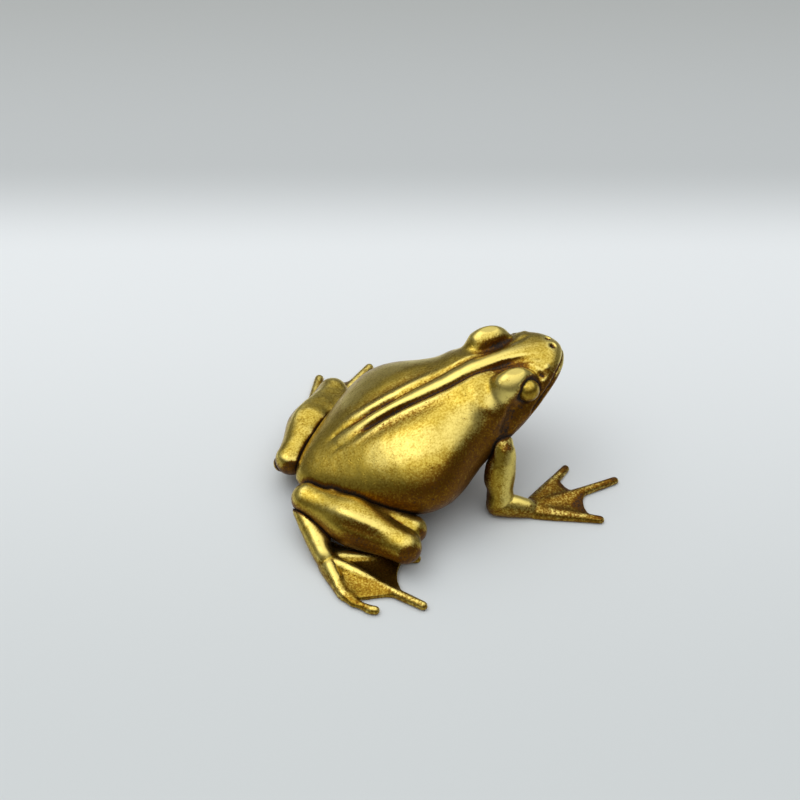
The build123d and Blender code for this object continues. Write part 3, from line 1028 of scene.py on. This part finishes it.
class Finish(Enum):
    """The brass finishes of the frog's pieces."""

    BODY = AgedBrass("body_brass", grime=0.5, pitting=0.8, bump=0.4)
    LIMB = AgedBrass("limb_brass", grime=0.55, pitting=0.8, bump=0.4)
    EYE = AgedBrass("eye_brass", grime=0.4, pitting=0.5, bump=0.3)
    PEG = AgedBrass("peg_brass", grime=0.3, pitting=0.3, bump=0.2)


class Palette:
    """Builds each finish once."""

    def __init__(self) -> None:
        """Builds the shared group and every material."""
        group = PatinaGroup()
        self.materials = {finish: finish.value.material(group) for finish in Finish}

    def __getitem__(self, finish: Finish) -> bpy.types.Material:
        """Material of a finish."""
        return self.materials[finish]


@dataclass
class Body:
    """The back and belly shells, carved as one skin and parted at the seam.

    Places are in millimetres: forward of the rump, out from the middle and up from the table.
    """

    voxel: float = 0.25
    relax_rounds: int = 70
    crease_rounds: int = 100
    seam_lift: float = 0.03
    left_push: float = 0.5
    seam: Path = (
        (-10.0, 6.17), (0.0, 6.17), (38.36, 15.34), (43.84, 18.63), (47.13, 22.25), (50.96, 24.58),
        (54.8, 25.26), (65.0, 25.26),
    )
    groove: Path = (
        (4.6, 0.5), (6.4, 1.0), (10.8, 1.7), (15.8, 1.5), (21.6, 1.5), (27.3, 1.7), (33.6, 1.9), (39.1, 2.0),
        (43.6, 2.2), (46.6, 2.8), (49.1, 3.6),
    )
    spine: Path = (
        (4.1, 0.0), (11.6, 0.0), (19.6, 0.0), (29.6, 0.0), (37.6, 0.0), (45.6, 0.0), (51.6, 0.0),
    )
    eye_strip: Path = ((36.0, 2.7), (39.4, 2.8), (42.0, 3.1), (44.4, 3.6), (46.4, 4.5), (47.9, 5.8))
    lid_crease: Path = ((41.4, 9.4, 26.0), (43.8, 8.6, 26.6), (46.4, 6.8, 26.0))
    neck: Path = (
        (38.2, 3.8, 25.4), (36.8, 5.5, 24.4), (36.7, 7.3, 23.5), (37.8, 8.9, 22.6), (39.6, 9.7, 22.0),
    )
    full_places: Path = (
        (37.6, 4.4, 25.0), (36.8, 5.6, 24.4), (36.6, 7.2, 23.4), (37.6, 8.6, 22.6), (39.4, 9.6, 22.2),
        (41.8, 10.0, 20.9), (44.6, 9.8, 20.8),
    )
    soft_places: Path = (
        (36.6, 5.8, 24.8), (36.6, 7.6, 24.2), (37.8, 9.2, 23.4), (39.2, 9.8, 22.6), (41.8, 10.0, 20.9),
        (6.2, 0.0, 12.9),
    )
    neck_pushes: tuple[tuple[Point, Point], ...] = (
        ((34.8, 5.2, 23.8), (0.2, 0.0, 0.4)), ((34.8, 7.2, 22.9), (0.2, 0.2, 0.6)),
        ((36.0, 9.3, 21.8), (0.1, 0.4, 0.7)), ((38.4, 10.3, 21.3), (0.0, 0.5, 0.5)),
    )
    # Places of painted highlights on the lid, the front and the flank crest.
    lid_highlight: Path = ((41.4, 8.4, 26.9), (39.8, 8.6, 25.6), (38.2, 8.6, 24.2), (36.8, 8.2, 22.8))
    front_highlight: Path = ((31.6, 9.4, 21.4), (29.8, 10.1, 20.8), (27.9, 11.0, 20.0))
    flank_highlight: Path = (
        (14.5, 8.5, 16.3), (17.9, 9.9, 17.8), (20.7, 10.6, 18.8), (23.5, 10.9, 19.6), (27.7, 11.0, 19.9),
        (29.8, 10.1, 20.8), (31.6, 9.4, 21.4),
    )
    flank_crest: Path = ((6.5, 4.4), (12.0, 5.6), (17.0, 6.6), (23.0, 7.6), (28.0, 8.4), (34.0, 8.6))
    flank_hollow: Path = ((8.0, 2.9), (14.0, 3.5), (20.0, 3.9), (27.0, 4.2), (33.0, 4.1))
    wedge: Path = ((9.6, 1.2), (13.8, 1.4), (16.8, 1.5), (19.9, 1.5), (24.4, 1.5))
    lid: Path = ((37.4, 6.6, 25.2), (40.4, 6.8, 27.2), (43.6, 6.6, 27.4), (46.4, 6.2, 26.4))
    eye: Point = (44.1, 8.3, 24.0)
    eye_faces: Point = (0.3, 0.85, 0.43)
    eye_radius: float = 2.2
    eye_front: Path = ((46.7, 6.5, 26.1), (47.5, 6.9, 25.5), (48.3, 7.2, 24.8))
    eye_under: Path = ((41.6, 9.8, 22.6), (42.6, 10.2, 21.6), (44.0, 10.2, 21.2))
    boss: Path = ((49.0, 5.6, 26.1),)
    nostril: Path = ((52.1, 1.2, 27.2),)
    mouth: Path = (
        (54.7, 0.0, 25.25), (53.9, 1.9, 25.1), (52.5, 3.9, 24.85), (50.7, 5.9, 24.4), (49.0, 7.4, 23.4),
        (47.2, 8.6, 22.3), (45.6, 9.4, 20.5), (44.0, 10.2, 18.7),
    )
    jaw_recess: Path = (
        (41.4, 9.6, 22.6), (40.6, 10.0, 21.2), (39.6, 10.7, 19.2), (38.9, 11.2, 17.4), (38.2, 11.6, 15.4),
    )
    flank_front: Path = ((38.0, 9.7, 21.5), (36.8, 10.4, 20.0), (35.8, 11.2, 18.2), (35.2, 11.9, 16.0))

    def fillings(self) -> list[Stroke]:
        """Metal run into the solids where the real frog is full; the numbers are width and depth."""
        above, space = Facing.ABOVE, Facing.SPACE
        return [
            Stroke("neck", self.neck, space, 1.5, -0.7, taper_share=0.2, flat_share=0.4),
            Stroke("groove_end", self.groove[1:4], above, 0.6, -0.5, taper_share=0.3, flat_share=0.3,
                   left_share=0.3),
            Stroke("flank_crest", self.flank_crest, above, 2.8, -0.3, taper_share=0.35, left_share=0.4),
            Stroke("far_groove", self.groove[2:9], above, 0.7, -0.45, taper_share=0.3, right_share=0.0),
        ]

    def strokes(self) -> list[Stroke]:
        """The body's carved lines; the numbers are width, depth, patina and wear."""
        ridge = tuple((along, out + 1.5) for along, out in self.groove[1:7])
        above, space = Facing.ABOVE, Facing.SPACE
        return [
            Stroke("dorsal_groove", self.groove[2:], above, 0.55, 0.45, 0.8, taper_share=0.25,
                   left_share=0.0),
            Stroke("far_groove", self.groove, above, 0.6, 0.12, 0.4, right_share=0.0, taper_share=0.25),
            Stroke("flank_hollow", self.flank_hollow, above, 1.7, 0.14, 0.38, taper_share=0.4,
                   left_share=0.4),
            Stroke("groove_wedge", self.wedge, above, 0.7, 0.35, 0.8, taper_share=0.4),
            Stroke("dorsal_band", self.spine, above, 1.2, -0.25, 0.0, 0.9, left_share=0.0, taper_share=0.3),
            Stroke("dorsal_ridge", ridge, above, 0.8, -0.2, 0.0, 0.5, taper_share=0.4),
            Stroke("eye_strip", self.eye_strip, above, 1.2, 0.6, 0.72, taper_share=0.35, flat_share=0.35),
            Stroke("lid", self.lid, space, 1.6, -0.3, 0.0, 0.3, taper_share=0.4),
            Stroke("eye_socket", (self.eye_spot(),), space, 2.5, 0.75, 0.6, flat_share=0.8),
            Stroke("eye_ring", self.eye_ring(), space, 0.36, 0.35, 1.0, taper_share=0.0),
            Stroke("lid_crease", self.lid_crease, space, 0.4, 0.3, 0.9),
            Stroke("eye_front", self.eye_front, space, 0.7, 0.35, 0.8, taper_share=0.4),
            Stroke("eye_under", self.eye_under, space, 0.9, 0.12, 0.85, taper_share=0.4),
            Stroke("brow_boss", self.boss, space, 0.7, -0.25, 0.0, 0.6),
            Stroke("nostril", self.nostril, space, 0.6, 0.7, 1.0, flat_share=0.6),
            Stroke("mouth", self.mouth, space, 0.38, 0.4, 1.0, taper_share=0.08),
            Stroke("jaw_recess", self.jaw_recess, space, 1.6, 0.8, 0.75, taper_share=0.25, flat_share=0.3),
            Stroke("flank_front", self.flank_front, space, 1.0, -0.3, 0.0, 0.4, taper_share=0.4),
        ]

    def eye_spot(self) -> Point:
        """The foremost place of an eye bead."""
        return tuple(np.array(self.eye) + np.array(self.eye_faces) * self.eye_radius)

    def eye_ring(self) -> Path:
        """A ring round an eye bead, where it stands out of its socket."""
        faces = np.array(self.eye_faces) / np.linalg.norm(self.eye_faces)
        level = np.cross(faces, (0.0, 0.0, 1.0))
        level /= np.linalg.norm(level)
        steep = np.cross(level, faces)
        reach = 1.08 * self.eye_radius
        centre = np.array(self.eye) + 0.5 * faces
        turns = np.linspace(0.0, 2.0 * math.pi, 15)
        ring = [centre + reach * (math.cos(turn) * level + math.sin(turn) * steep) for turn in turns]
        return tuple(tuple(place) for place in ring)

    def build(self) -> Skin:
        """Carves the body's skin.

        Returns:
            The carved skin, not yet parted.
        """
        nodes = ["back_shell", "belly_shell", "hip_pegs", "shoulder_pegs", "right_eye", "left_eye"]
        skin = Skin.from_nodes("body", nodes, self.voxel, {"belly_shell": self.seam_lift})
        skin.relax(self.relax_rounds)
        skin.carve(self.fillings())
        skin.fill_creases(self.crease_rounds)
        for (along, out, up), (ahead, aside, lift) in self.neck_pushes:
            for side in Side:
                share = 1.0 if side is Side.RIGHT else self.left_push
                move = (share * ahead, share * side.sign * aside, share * lift)
                skin.nudge((along, side.sign * out, up), reach=4.6, move=move)
        skin.soften(self.full_places, reach=4.6, rounds=900, fill_only=True)
        skin.soften(self.soft_places, reach=3.0, rounds=240)
        skin.carve(self.strokes())
        skin.roughen(lump=2.4, seed=3)
        skin.age(fine_rounds=8, broad_rounds=60, fine_depth=0.05, broad_depth=0.22, shade=0.58)
        # Painted highlights on the lid, the front and the flank crest, by taking the patina off.
        skin.paint_highlight(self.lid_highlight, reach=2.8, share=0.8)
        skin.paint_highlight(self.front_highlight, reach=4.0, share=0.6)
        skin.paint_highlight(self.flank_highlight, reach=5.0, share=0.5)
        return skin

    def part(self, skin: Skin) -> dict[str, Skin]:
        """Parts the carved body into its two shells, named by their CAD nodes."""
        back, belly = part_skin(skin, ("back", "belly"), self.seam)
        return {"back_shell": back, "belly_shell": belly}


@dataclass
class Limb:
    """One piece of a leg, or an eye, carved out of its CAD node."""

    node: str
    voxel: float = 0.2
    relax_rounds: int = 14
    crease_rounds: int = 0
    flesh: list[Stroke] = field(default_factory=list)
    strokes: list[Stroke] = field(default_factory=list)
    web_top: float = 0.0
    soft_places: Path = ()
    soft_rounds: int = 70
    ankle: Point | None = None
    bend: Point | None = None
    bend_move: Point = (0.9, 0.6, 0.0)
    shade: float = 0.35
    lump: float = 1.8
    seed: int = 5

    def build(self) -> Skin:
        """Carves the limb's skin."""
        skin = Skin.from_nodes(self.node + "_skin", [self.node], self.voxel)
        skin.relax(self.relax_rounds)
        skin.carve(self.flesh)
        skin.fill_creases(self.crease_rounds)
        skin.carve(self.strokes)
        if self.bend is not None:
            skin.nudge(self.bend, reach=4.0, move=self.bend_move)
        skin.soften(self.soft_places, reach=3.2, rounds=self.soft_rounds)
        if self.ankle is not None:
            skin.taper(self.ankle, near=3.0, far=15.0, thick=0.22, thin=0.12)
        skin.roughen(self.lump, self.seed)
        skin.age(fine_rounds=6, broad_rounds=40, fine_depth=0.03, broad_depth=0.12, shade=self.shade)
        if self.web_top > 0:
            skin.stain_webs(self.web_top, stain=0.22)
            skin.age_low(low=1.4, high=3.4, stain=0.3)
        return skin


@dataclass
class Arm:
    """One arm, carved whole and parted at the elbow into upper arm and hand."""

    side: Side
    voxel: float = 0.2
    relax_rounds: int = 16
    crease_rounds: int = 160
    web_top: float = 1.25
    seam: Path = ((26.0, -4.3), (36.4, 3.0), (66.0, 23.7))
    soft_places: Path = ((36.8, 15.0, 2.4), (41.5, 17.2, 1.6))
    wrist: Point = (41.5, 17.2, 1.6)
    lit_way: Point = (0.75, 0.6, 0.3)
    arm_back: Path = ((36.6, 12.2, 13.6), (35.8, 12.8, 11.0), (35.0, 13.6, 8.0), (34.4, 14.4, 5.0))
    forearm: Path = ((35.4, 14.6, 3.6), (38.4, 15.8, 3.4), (41.6, 17.2, 2.6), (44.6, 18.2, 1.9))
    elbow_line: Path = (
        (34.2, 14.6, 1.6), (34.9, 16.4, 2.0), (36.4, 17.2, 3.0), (38.0, 16.6, 4.1), (38.8, 14.8, 4.7),
    )

    def nodes(self) -> tuple[str, str]:
        """CAD nodes of the upper arm and the hand."""
        return f"{self.side.value}_upper_arm", f"{self.side.value}_hand"

    def build(self, body: Skin) -> Skin:
        """Carves the arm's skin.

        Args:
            body: the carved body, which the shoulder runs into.

        Returns:
            The arm's skin, not yet parted.
        """
        upper, hand = self.nodes()
        skin = Skin.from_nodes(f"{self.side.value}_arm", [upper, hand, "elbow_pegs"], self.voxel)
        skin.relax(self.relax_rounds)
        forearm = Stroke("forearm", self.forearm, Facing.SPACE, 1.7, -0.5, taper_share=0.35)
        # The arm's back is raised and darkened with patina as painted shade.
        arm_back = Stroke("arm_back", self.arm_back, Facing.SPACE, 1.9, -0.9, 0.7, taper_share=0.35)
        elbow = Stroke("elbow", self.elbow_line, Facing.SPACE, 0.3, 0.1, 0.6)
        skin.carve([forearm.only(self.side), arm_back.only(self.side)])
        skin.fill_creases(self.crease_rounds)
        skin.soften(self.soft_places, reach=3.0, rounds=70)
        along, out, up = self.wrist
        skin.taper((along, self.side.sign * out, up), near=3.0, far=15.0, thick=0.22, thin=0.12)
        skin.run_into(body, low=12.0, high=17.0, share=0.8)
        skin.carve([elbow.only(self.side)])
        skin.roughen(lump=1.8, seed=9)
        skin.age(fine_rounds=6, broad_rounds=40, fine_depth=0.03, broad_depth=0.12, shade=0.15)
        # Painted light on the arm's front and outer side, painted shade on its back.
        ahead, aside, lift = self.lit_way
        skin.paint_lit_side((ahead, self.side.sign * aside, lift), rubbed=0.6, shaded_side=0.6)
        skin.stain_webs(self.web_top, stain=0.78)
        skin.age_low(low=1.6, high=4.6, stain=0.42)
        return skin

    def part(self, skin: Skin) -> dict[str, Skin]:
        """Parts the carved arm at the elbow, into skins named by their CAD nodes."""
        upper, hand = self.nodes()
        return dict(zip((upper, hand), part_skin(skin, (upper + "_skin", hand + "_skin"), self.seam)))


@dataclass
class Frog:
    """All the dressed pieces of the frog."""

    FINISHES: ClassVar[dict[str, Finish]] = {"eye": Finish.EYE, "shell": Finish.BODY}

    palette: Palette
    skins: dict[str, Skin] = field(default_factory=dict)
    shank_crease: Path = ((1.6, 13.0, 9.4), (3.6, 15.6, 9.4), (8.2, 20.2, 8.8), (12.6, 24.2, 7.8))
    shank_crest: Path = ((-0.1, 9.2, 9.2), (7.3, 17.6, 10.6), (15.2, 24.0, 9.0))
    tarsus: Path = (
        (-0.8, 8.0, 5.2), (0.0, 12.0, 4.6), (0.5, 15.4, 3.8), (0.7, 18.6, 3.0), (1.0, 22.0, 2.2),
    )
    outer_toe: Path = ((0.4, 15.6, 2.0), (0.9, 20.0, 1.8), (1.4, 25.0, 1.6))
    middle_toe: Path = ((-0.4, 15.8, 2.0), (4.2, 21.2, 1.8), (9.0, 26.8, 1.6))
    inner_toe: Path = ((-1.0, 16.2, 2.0), (6.0, 18.4, 1.8), (12.0, 20.4, 1.6))
    heel_web: Path = ((0.3, 10.2, 4.2), (1.2, 13.0, 3.4), (1.8, 15.6, 2.8))
    far_shank: Path = ((0.4, 5.2, 9.5), (3.0, 7.6, 9.8), (6.2, 10.8, 10.4))
    far_leg: Path = ((1.0, 5.8, 9.6), (3.4, 8.0, 9.9), (6.6, 11.2, 10.5), (9.9, 14.8, 10.4))
    ankle: Point = (0.4, -16.6, 1.7)
    hook: Point = (1.9, -29.3, 1.0)
    foot_bends: Path = ((0.4, 16.6, 2.2), (2.6, 28.9, 1.0))

    def hind_leg(self, side: Side) -> Limb:
        """Thigh and shank of one side, the left one filled and smoothed along its shank."""
        space = Facing.SPACE
        strokes = [
            Stroke("shank_crease", self.shank_crease, space, 1.3, 0.2, 0.5, taper_share=0.4),
            Stroke("shank_crest", self.shank_crest, space, 1.3, -0.25, 0.0, 0.6, taper_share=0.4),
        ]
        if side is Side.LEFT:
            strokes.append(Stroke("far_shank", self.far_shank, space, 2.0, -0.6, taper_share=0.5))
        return Limb(f"{side.value}_hind_leg", relax_rounds=24, crease_rounds=160, shade=0.66,
                    strokes=[stroke.only(side) for stroke in strokes],
                    soft_places=self.far_leg if side is Side.LEFT else (), soft_rounds=260)

    def hind_foot(self, side: Side) -> Limb:
        """Tarsus, toes and web of one side, the right one fuller and with its hooked toe."""
        foot = Limb(f"{side.value}_hind_foot", relax_rounds=10, crease_rounds=180, web_top=1.25, shade=0.25)
        if side is Side.LEFT:
            return foot
        fuller = (
            ("tarsus", self.tarsus, 2.0), ("outer_toe", self.outer_toe, 1.3),
            ("middle_toe", self.middle_toe, 1.3), ("inner_toe", self.inner_toe, 1.2),
        )
        flesh = [
            Stroke(label, path, Facing.SPACE, width, -0.5, taper_share=0.45) for label, path, width in fuller
        ]
        flesh.append(Stroke("heel_web", self.heel_web, Facing.SPACE, 1.3, -0.9, 0.8, taper_share=0.3))
        return replace(foot, flesh=[stroke.only(side) for stroke in flesh], soft_places=self.foot_bends,
                       ankle=self.ankle, bend=self.hook)

    def build(self) -> None:
        """Carves every skin."""
        body = Body()
        arms = [Arm(side) for side in Side]
        limbs = []
        for side in Side:
            eye = Limb(f"{side.value}_eye", voxel=0.12, relax_rounds=6, shade=0.2, lump=0.9)
            limbs += [self.hind_leg(side), self.hind_foot(side), eye]
        carved = body.build()
        carved_arms = [arm.build(carved) for arm in arms]
        made = {limb.node: limb.build() for limb in limbs}
        apart = [*carved_arms, *made.values()]
        for skin in apart:
            if not skin.name.endswith("eye_skin"):
                skin.age_beside([carved, *(other for other in apart if other is not skin)], reach=0.9)
        carved.age_beside(apart, reach=1.6)
        self.skins = {**body.part(carved), **made}
        for arm, skin in zip(arms, carved_arms):
            self.skins.update(arm.part(skin))

    def dress(self) -> None:
        """Turns every skin into a piece that rides on the root body."""
        for node, skin in self.skins.items():
            finish = self.FINISHES.get(node.split("_")[-1], Finish.LIMB)
            piece = skin.piece(self.palette[finish])
            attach(piece, "root")
            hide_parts(node)
        for node in ("hip_pegs", "shoulder_pegs", "heel_pegs", "elbow_pegs"):
            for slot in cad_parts[node].material_slots:
                slot.material = self.palette[Finish.PEG]
            LOG.info("%s: kept as built", node)


@dataclass
class Studio:
    """The table, the light and the camera."""

    camera_place: Point = (-77.75, -201.27, 212.63)
    camera_right: Point = (0.945519, -0.325568, 0.0)
    camera_up: Point = (0.217846, 0.632669, 0.743145)
    camera_back: Point = (-0.241946, -0.702652, 0.669131)
    lens: float = 67.5
    sensor: float = 36.0
    floor_reach: float = 2.5
    floor_near: Colour = linear_colour(212, 217, 217)
    # Painted sheen: a brighter band across the table.
    floor_sheen: Colour = linear_colour(237, 241, 242)
    floor_back: Colour = linear_colour(196, 200, 200)
    floor_far: Colour = linear_colour(172, 175, 172)
    floor_ahead: Point = (0.32557, 0.94552, 0.0)
    sheen_ramp: Point = (-0.08, 0.078)
    back_ramp: Point = (0.072, 0.112)
    far_ramp: Point = (0.1, 0.26)
    panel_faces: Point = (0.0, 0.1, 0.995)
    panel: Colour = (1.42, 1.43, 1.45)
    panel_ramp: Point = (0.45, 0.88)
    room: Colour = (0.17, 0.17, 0.17)
    lamp_place: Point = (-0.28, 0.16, 0.62)
    lamp_aim: Point = (0.0, 0.0, 0.01)
    lamp_size: Point = (0.5, 0.35)
    lamp_power: float = 0.5

    def build(self) -> None:
        """Sets up the stage."""
        self._camera()
        self._floor()
        self._world()
        self._lamps()
        bpy.context.scene.view_settings.view_transform = "Standard"

    def _camera(self) -> None:
        """Puts the camera at the photograph's place."""
        data = bpy.data.cameras.new("camera")
        data.lens = self.lens
        data.sensor_width = self.sensor
        data.sensor_fit = "HORIZONTAL"
        data.clip_start = 0.005
        data.clip_end = 20.0
        camera = put("camera", data)
        rows = np.array([self.camera_right, self.camera_up, self.camera_back]).T
        turn = Matrix([list(row) for row in rows]).to_4x4()
        camera.matrix_world = Matrix.Translation(Vector(self.camera_place) * MM) @ turn
        bpy.context.scene.camera = camera

    def _floor(self) -> None:
        """Lays the pale table, with a painted sheen band across it and darker tones farther away."""
        mesh = bpy.data.meshes.new("table")
        reach = self.floor_reach
        corners = [(-reach, -reach, 0.0), (reach, -reach, 0.0), (reach, reach, 0.0), (-reach, reach, 0.0)]
        mesh.from_pydata(corners, [], [(0, 1, 2, 3)])
        table = put("table", mesh)
        made = bpy.data.materials.new("table_paper")
        sheet = NodeSheet.fresh(made)
        output = sheet.node("ShaderNodeOutputMaterial")
        shader = sheet.node("ShaderNodeBsdfPrincipled")
        shader.inputs["Roughness"].default_value = 0.6
        place = sheet.node("ShaderNodeTexCoord").outputs["Object"]
        ahead = sheet.node("ShaderNodeVectorMath", operation="DOT_PRODUCT")
        sheet.link(place, ahead.inputs[0])
        ahead.inputs[1].default_value = self.floor_ahead
        pale = (*self.floor_near, 1.0)
        # The colour runs from the near tone through the painted sheen band to darker tones farther away.
        for ramp, colour in (
            (self.sheen_ramp, self.floor_sheen),
            (self.back_ramp, self.floor_back),
            (self.far_ramp, self.floor_far),
        ):
            pale = sheet.blend(sheet.ramp(ahead.outputs["Value"], *ramp), pale, (*colour, 1.0))
        sheet.link(pale, shader.inputs["Base Color"])
        sheet.link(shader.outputs[0], output.inputs["Surface"])
        mesh.materials.append(made)

    def _world(self) -> None:
        """Lights the room: a broad soft panel overhead, dim walls."""
        world = bpy.data.worlds.new("room")
        sheet = NodeSheet.fresh(world)
        output = sheet.node("ShaderNodeOutputWorld")
        glow = sheet.node("ShaderNodeBackground")
        panel = sheet.node("ShaderNodeVectorMath", operation="DOT_PRODUCT")
        sheet.link(sheet.node("ShaderNodeTexCoord").outputs["Generated"], panel.inputs[0])
        panel.inputs[1].default_value = self.panel_faces
        high = sheet.ramp(panel.outputs["Value"], *self.panel_ramp)
        sheet.link(sheet.blend(high, (*self.room, 1.0), (*self.panel, 1.0)), glow.inputs["Color"])
        glow.inputs["Strength"].default_value = 1.0
        sheet.link(glow.outputs[0], output.inputs["Surface"])
        bpy.context.scene.world = world

    def _lamps(self) -> None:
        """Hangs one large soft lamp above, a little to the left and behind."""
        data = bpy.data.lights.new("soft_lamp", "AREA")
        data.shape = "RECTANGLE"
        data.size, data.size_y = self.lamp_size
        data.energy = self.lamp_power
        lamp = put("soft_lamp", data)
        lamp.location = self.lamp_place
        aim = Vector(self.lamp_aim) - lamp.location
        lamp.rotation_euler = aim.to_track_quat("-Z", "Y").to_euler()


def main() -> None:
    """Builds the frog and the stage."""
    logging.basicConfig(level=logging.INFO, format="%(name)s %(message)s")
    palette = Palette()
    frog = Frog(palette)
    frog.build()
    frog.dress()
    Studio().build()


if __name__ == "__main__":
    main()
